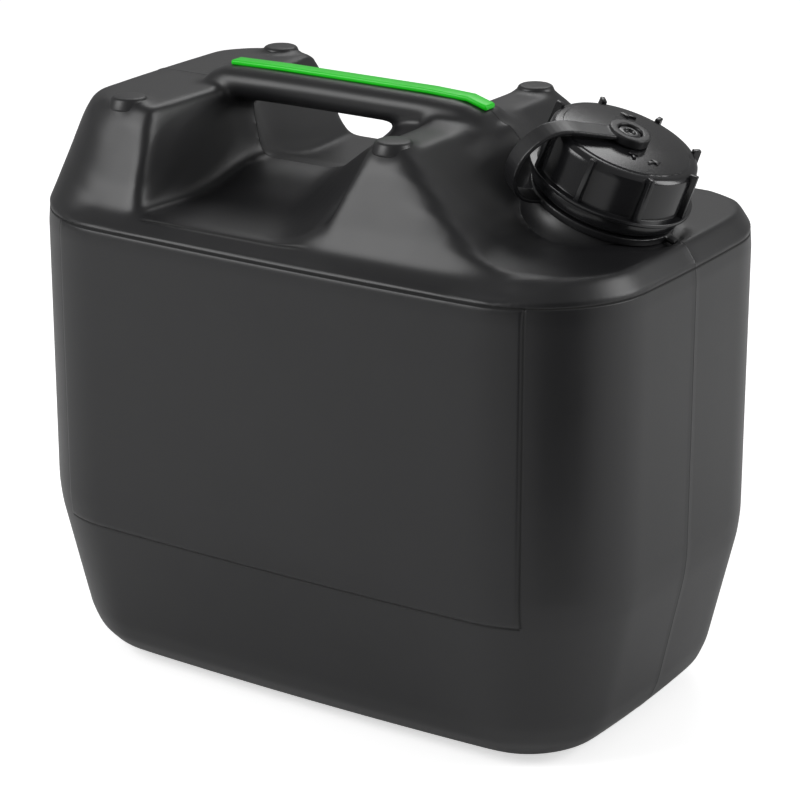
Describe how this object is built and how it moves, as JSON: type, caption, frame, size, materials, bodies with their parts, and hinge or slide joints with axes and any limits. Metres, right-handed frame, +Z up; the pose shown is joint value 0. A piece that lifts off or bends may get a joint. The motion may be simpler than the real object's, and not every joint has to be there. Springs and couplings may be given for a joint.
{
  "type": "plastic canister",
  "caption": "Stackable black plastic canister with a moulded carrying handle, a coloured handle strip and a tethered screw cap on a slanted pouring neck.",
  "frame": {"origin": "centre of the base, on the surface the canister stands on", "axes": "+X along the canister towards the neck, +Y to its back wall, +Z up"},
  "size_m": [0.3076, 0.1946, 0.2843],
  "materials": {
    "body_plastic": "satin",
    "strip_plastic": "satin",
    "cap_plastic": "semi-gloss",
    "gasket_foam": "matt",
    "ring_plastic": "semi-gloss",
    "strap_plastic": "semi-gloss"
  },
  "bodies": {
    "canister": {"canister_body": "body_plastic", "handle_strip": "strip_plastic", "tamper_ring": "ring_plastic"},
    "strap": {"cap_strap": "strap_plastic"},
    "gasket": {"cap_gasket": "gasket_foam"},
    "cap": {"screw_cap": "cap_plastic"}
  },
  "joints": [
    {"name": "strap_swivel", "type": "hinge", "parent": "canister", "child": "strap", "pos_m": [0.11835, 0, 0.2704], "axis": [0.3665, 0, 0.9304], "range_deg": [-20, 70]},
    {"name": "cap_rise", "type": "slide", "parent": "strap", "child": "gasket", "axis": [0.3665, 0, 0.9304], "range_m": [0, 0.012], "deforming": ["cap_strap"]},
    {"name": "cap_turn", "type": "hinge", "parent": "gasket", "child": "cap", "pos_m": [0.11835, 0, 0.2704], "axis": [0.3665, 0, 0.9304], "range_deg": [0, 720]}
  ],
  "couplings": [
    {"joint": "cap_turn", "follows": "cap_rise", "rad_per_m": 1047.2}
  ]
}
